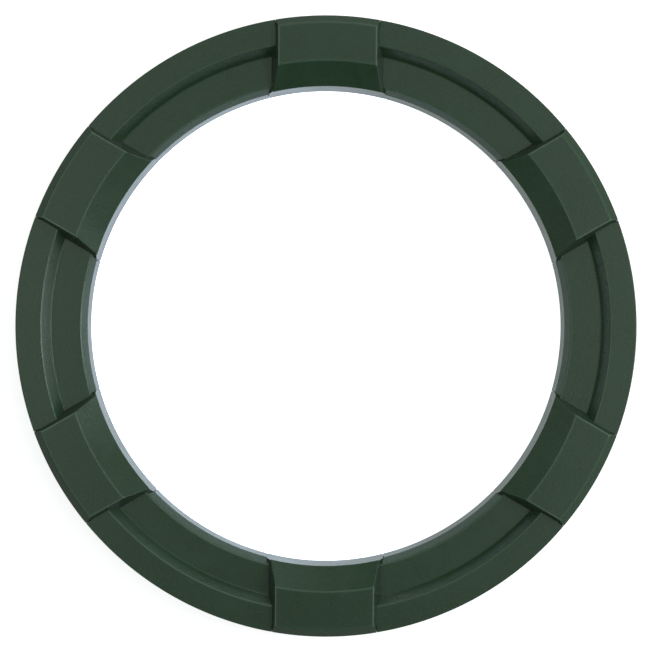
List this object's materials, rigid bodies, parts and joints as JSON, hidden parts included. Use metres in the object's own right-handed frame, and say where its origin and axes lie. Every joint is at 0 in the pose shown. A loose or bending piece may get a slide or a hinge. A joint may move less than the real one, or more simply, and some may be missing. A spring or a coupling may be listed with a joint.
{
  "type": "wreath frame",
  "caption": "Flat moulded plastic wreath ring with a stepped face, made of arc segments joined under raised joint caps by hidden screws.",
  "frame": {"origin": "centre of the ring on the plane it lies on", "axes": "+Z out of the decorated face, +X through the middle of segment 1"},
  "size_m": [0.355, 0.355, 0.032],
  "materials": {
    "segment_plastic": "satin, fine moulded grain",
    "cap_plastic": "satin, fine moulded grain",
    "screw_steel": "bright zinc plate"
  },
  "bodies": {
    "root": {"arc_segment_1": "segment_plastic", "arc_segment_2": "segment_plastic", "arc_segment_3": "segment_plastic", "arc_segment_4": "segment_plastic", "arc_segment_5": "segment_plastic", "arc_segment_6": "segment_plastic", "joint_cap_1": "cap_plastic", "joint_cap_2": "cap_plastic", "joint_cap_3": "cap_plastic", "joint_cap_4": "cap_plastic", "joint_cap_5": "cap_plastic", "joint_cap_6": "cap_plastic", "cap_screw_1a": "screw_steel", "cap_screw_1b": "screw_steel", "cap_screw_2a": "screw_steel", "cap_screw_2b": "screw_steel", "cap_screw_3a": "screw_steel", "cap_screw_3b": "screw_steel", "cap_screw_4a": "screw_steel", "cap_screw_4b": "screw_steel", "cap_screw_5a": "screw_steel", "cap_screw_5b": "screw_steel", "cap_screw_6a": "screw_steel", "cap_screw_6b": "screw_steel"}
  },
  "joints": []
}
